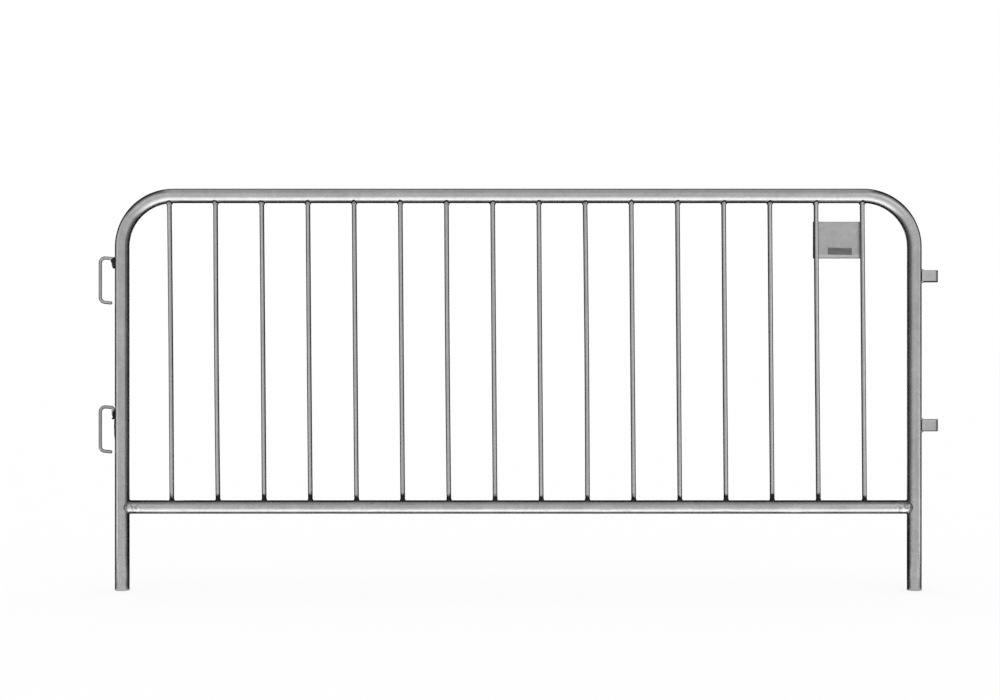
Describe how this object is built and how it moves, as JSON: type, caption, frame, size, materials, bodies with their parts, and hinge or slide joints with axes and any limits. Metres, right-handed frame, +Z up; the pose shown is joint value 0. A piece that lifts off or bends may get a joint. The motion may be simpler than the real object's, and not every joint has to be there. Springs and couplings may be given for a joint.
{
  "type": "pedestrian barrier panel",
  "caption": "Galvanised steel barrier panel: a bent tube frame with legs, a bottom rail and upright infill bars, rod hooks on one leg and strap eyes on the other for linking.",
  "frame": {"origin": "on the ground midway between the two leg ends, in the panel's middle plane", "axes": "+X along the panel from the hooks to the eyes, +Y through the panel from its front to its back, +Z up"},
  "size_m": [2.299, 0.04, 1.1],
  "materials": {
    "galvanised_tube": "weathered hot-dip zinc, satin",
    "galvanised_bar": "weathered hot-dip zinc, satin",
    "galvanised_fitting": "weathered hot-dip zinc, satin",
    "weld_metal": "zinc-coated weld bead, dull",
    "plate_sheet": "dull zinc sheet",
    "label_film": "bare grey film, matt"
  },
  "bodies": {
    "root": {"frame_tube": "galvanised_tube", "bottom_rail": "galvanised_tube", "rail_end_welds": "weld_metal", "infill_bar_01": "galvanised_bar", "infill_bar_02": "galvanised_bar", "infill_bar_03": "galvanised_bar", "infill_bar_04": "galvanised_bar", "infill_bar_05": "galvanised_bar", "infill_bar_06": "galvanised_bar", "infill_bar_07": "galvanised_bar", "infill_bar_08": "galvanised_bar", "infill_bar_09": "galvanised_bar", "infill_bar_10": "galvanised_bar", "infill_bar_11": "galvanised_bar", "infill_bar_12": "galvanised_bar", "infill_bar_13": "galvanised_bar", "infill_bar_14": "galvanised_bar", "infill_bar_15": "galvanised_bar", "infill_bar_16": "galvanised_bar", "bar_top_welds": "weld_metal", "bar_bottom_welds": "weld_metal", "upper_hook": "galvanised_fitting", "lower_hook": "galvanised_fitting", "hook_welds": "weld_metal", "upper_eye": "galvanised_fitting", "lower_eye": "galvanised_fitting", "eye_welds": "weld_metal", "plate": "plate_sheet", "plate_welds": "weld_metal", "label_strip": "label_film"}
  },
  "joints": []
}
